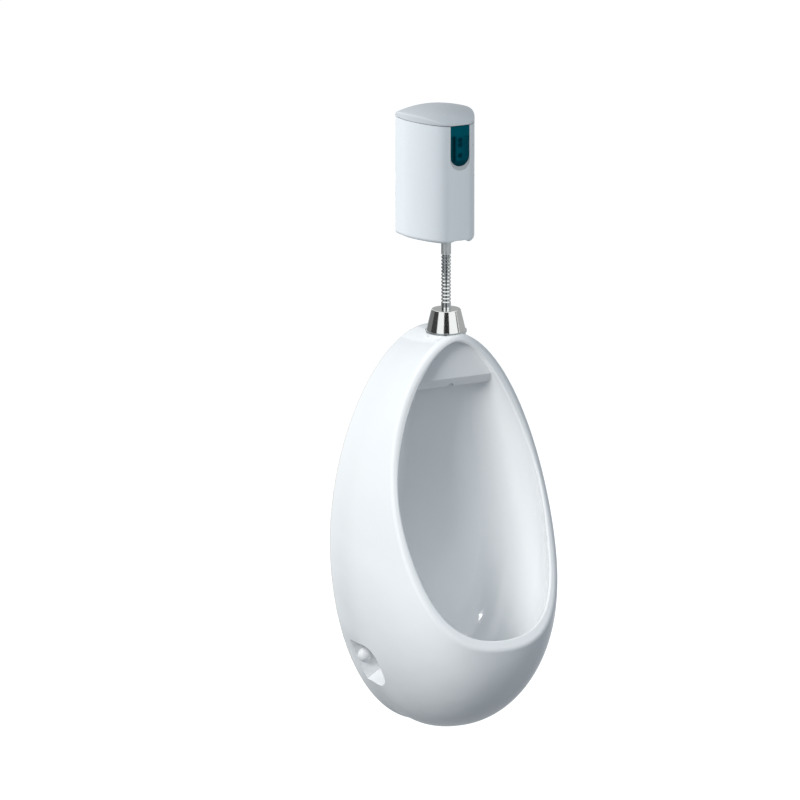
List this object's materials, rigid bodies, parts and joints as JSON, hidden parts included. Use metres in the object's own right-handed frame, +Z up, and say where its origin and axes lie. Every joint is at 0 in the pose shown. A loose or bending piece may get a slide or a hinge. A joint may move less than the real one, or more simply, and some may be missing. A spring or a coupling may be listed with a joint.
{
  "type": "wall-hung urinal with sensor flush unit",
  "caption": "Egg-shaped glazed ceramic wall urinal with a hooded open front, side fixing pockets, and a sensor flush unit above it on a ribbed chrome tube with a cone cover.",
  "frame": {"origin": "axis of the waste outlet on the wall plane, midway between the sides", "axes": "+Z up, +Y into the wall, so the front faces -Y; +X to the right seen from the front"},
  "size_m": [0.2766, 0.2257, 0.7998],
  "materials": {
    "glazed_ceramic": "gloss",
    "casing_plastic": "satin",
    "white_plastic": "gloss",
    "window_plastic": "gloss",
    "chrome": "polished",
    "steel": "brushed",
    "brass": "cast",
    "rubber": "matte",
    "grey_plastic": "matte",
    "black_plastic": "matte",
    "board": "satin",
    "eye_plastic": "gloss",
    "lamp_plastic": "gloss",
    "cell_wrap": "satin"
  },
  "bodies": {
    "urinal": {"bowl": "glazed_ceramic", "outlet_flange": "grey_plastic", "outlet_gasket": "rubber", "hanger_brackets": "steel", "cap_washers": "white_plastic", "inlet_spud": "rubber", "flush_tube": "chrome", "tube_washer": "rubber", "tube_nut": "chrome", "front_cover": "casing_plastic", "sensor_window": "window_plastic", "sensor_holder": "black_plastic", "sensor_board": "board", "ir_emitter": "eye_plastic", "ir_receiver": "eye_plastic", "status_light": "lamp_plastic", "back_plate": "grey_plastic", "cover_screws": "steel", "battery_holder": "black_plastic", "battery_cells": "cell_wrap", "inlet_nipple": "brass", "nipple_seal": "rubber", "inlet_filter": "steel", "valve_body": "brass", "bonnet_gasket": "rubber", "bonnet": "brass", "bonnet_screws": "steel", "core_tube": "steel", "coil": "black_plastic", "coil_yoke": "steel", "plunger_spring": "steel"},
    "strainer": {"strainer": "steel"},
    "left_cap": {"left_cap": "white_plastic"},
    "right_cap": {"right_cap": "white_plastic"},
    "cone": {"spud_cover": "chrome"},
    "lid": {"lid": "casing_plastic"},
    "stop": {"stop_plug": "brass"},
    "plunger": {"plunger": "steel"},
    "piston": {"piston": "white_plastic", "valve_washer": "rubber"}
  },
  "joints": [
    {"name": "lid_lift", "type": "slide", "parent": "urinal", "child": "lid", "axis": [0, 0, 1], "range_m": [0, 0.03]},
    {"name": "cone_lift", "type": "slide", "parent": "urinal", "child": "cone", "axis": [0, 0, 1], "range_m": [0, 0.06]},
    {"name": "strainer_lift", "type": "slide", "parent": "urinal", "child": "strainer", "axis": [0, 0, 1], "range_m": [0, 0.025]},
    {"name": "left_cap_pull", "type": "slide", "parent": "urinal", "child": "left_cap", "axis": [0, -1, 0], "range_m": [0, 0.025]},
    {"name": "right_cap_pull", "type": "slide", "parent": "urinal", "child": "right_cap", "axis": [0, -1, 0], "range_m": [0, 0.025]},
    {"name": "stop_turn", "type": "hinge", "parent": "urinal", "child": "stop", "pos_m": [0, -0.023, 0.626], "axis": [1, 0, 0], "range_deg": [0, 90]},
    {"name": "plunger_lift", "type": "slide", "parent": "urinal", "child": "plunger", "axis": [0, 0, 1], "range_m": [0, 0.003], "stiffness_N_per_m": 150, "springref_m": -0.004, "deforming": ["plunger_spring"]},
    {"name": "piston_lift", "type": "slide", "parent": "urinal", "child": "piston", "axis": [0, 0, 1], "range_m": [0, 0.004]}
  ],
  "couplings": [
    {"joint": "piston_lift", "follows": "plunger_lift", "ratio": 1.3333}
  ]
}
